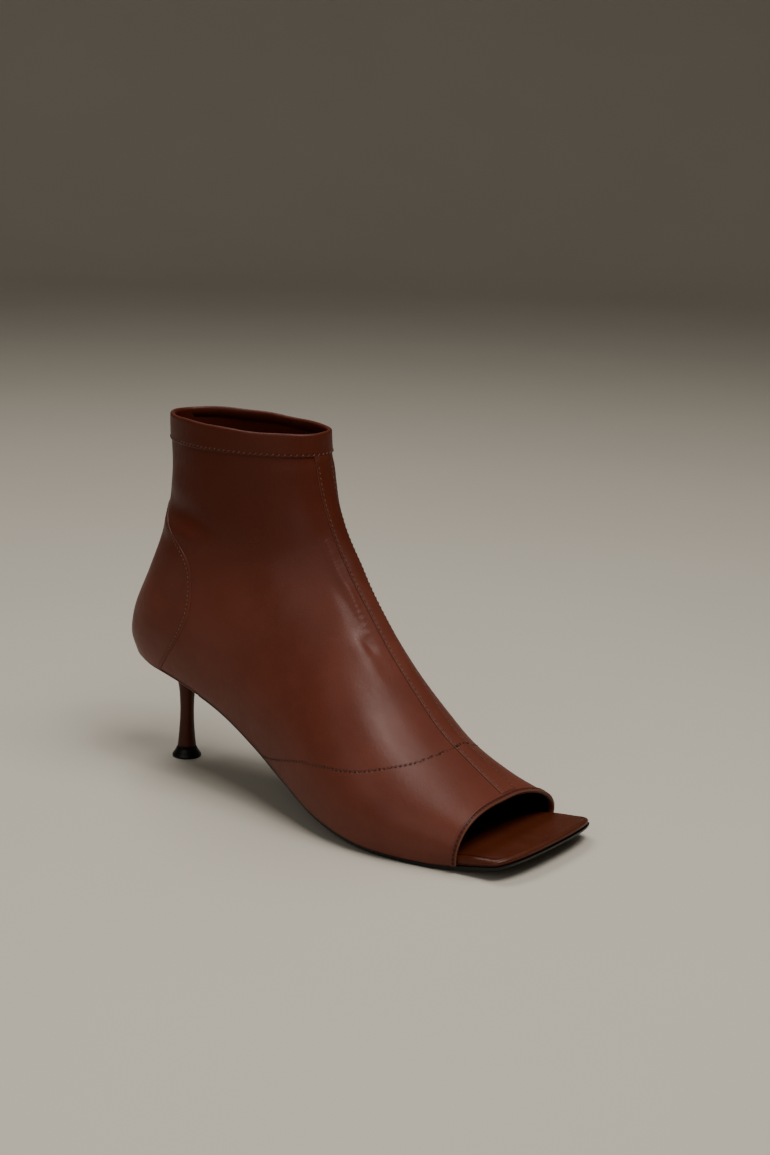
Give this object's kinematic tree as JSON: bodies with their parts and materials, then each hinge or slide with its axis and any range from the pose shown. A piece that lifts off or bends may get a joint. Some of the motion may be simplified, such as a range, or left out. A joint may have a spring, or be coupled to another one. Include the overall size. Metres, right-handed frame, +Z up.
{
  "type": "open-toe ankle boot",
  "caption": "Right open-toe ankle boot in smooth leather with a square toe, a front strip, a folded collar band and a slim flared kitten heel.",
  "frame": {"origin": "centre of the bottom of the box round the boot, on the floor", "axes": "+X from heel to toe, +Y to the inner side of the foot, +Z up"},
  "size_m": [0.2482, 0.0884, 0.1761],
  "materials": {
    "sole": "matt",
    "footbed": "satin",
    "upper_leather": "satin with soft creases",
    "trim_leather": "satin",
    "raw_edge": "matt raw edge",
    "heel_leather": "satin",
    "tip": "matt"
  },
  "bodies": {
    "root": {"outsole": "sole", "insole": "footbed", "upper": "upper_leather", "collar_band": "trim_leather", "front_strip": "trim_leather", "heel_counter": "trim_leather", "toe_binding": "raw_edge", "heel_stem": "heel_leather", "heel_tip": "tip"}
  },
  "joints": []
}
